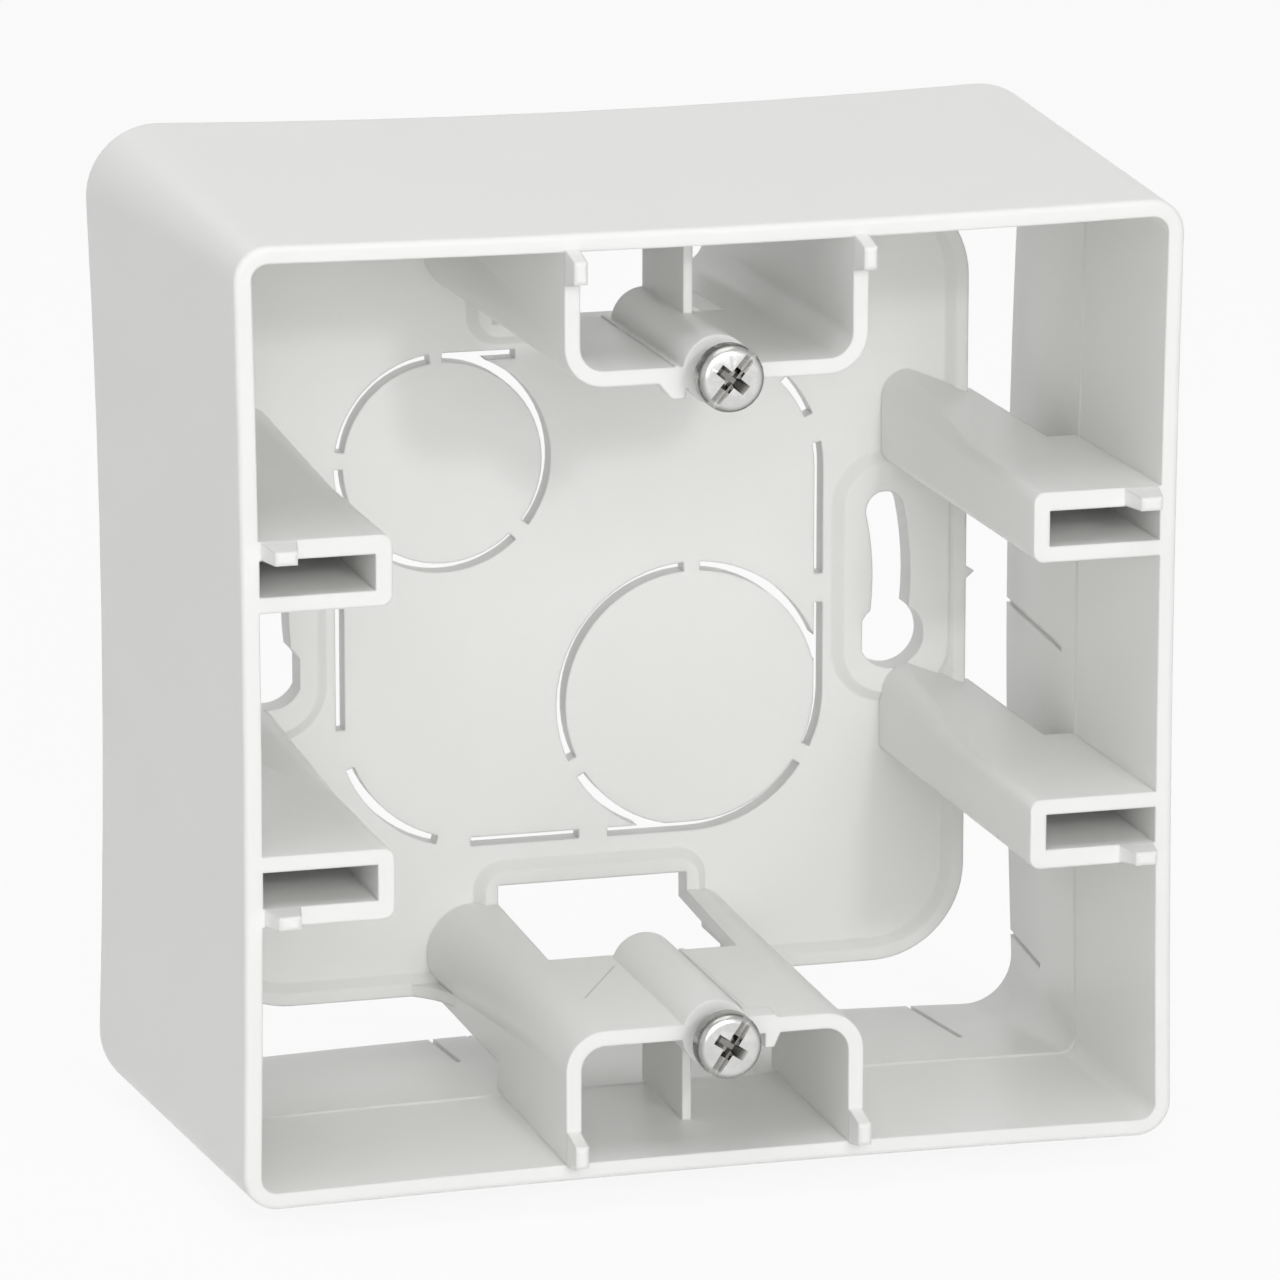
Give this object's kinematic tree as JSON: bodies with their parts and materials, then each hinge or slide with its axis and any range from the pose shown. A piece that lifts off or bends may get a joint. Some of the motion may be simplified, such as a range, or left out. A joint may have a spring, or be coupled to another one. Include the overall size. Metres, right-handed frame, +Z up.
{
  "type": "surface mount box",
  "caption": "Square white surface mount box for a wiring device, open at the front, with break-outs, keyholes and device screws.",
  "frame": {"origin": "middle of the rear face, on the wall that the box is fixed to", "axes": "+Y from the front rim to the wall, +Z up, +X right as seen from the front"},
  "size_m": [0.0914, 0.0518, 0.0914],
  "materials": {
    "box_body": "fine satin moulding, white",
    "upper_screw": "bright nickel plated steel",
    "lower_screw": "bright nickel plated steel"
  },
  "bodies": {
    "box": {"box_body": "box_body"},
    "top_fixing": {"upper_screw": "upper_screw"},
    "bottom_fixing": {"lower_screw": "lower_screw"}
  },
  "joints": [
    {"name": "upper_screw_travel", "type": "slide", "parent": "box", "child": "top_fixing", "axis": [0, 1, 0], "range_m": [-0.011, 0.00275]},
    {"name": "lower_screw_travel", "type": "slide", "parent": "box", "child": "bottom_fixing", "axis": [0, 1, 0], "range_m": [-0.011, 0.00275]}
  ]
}
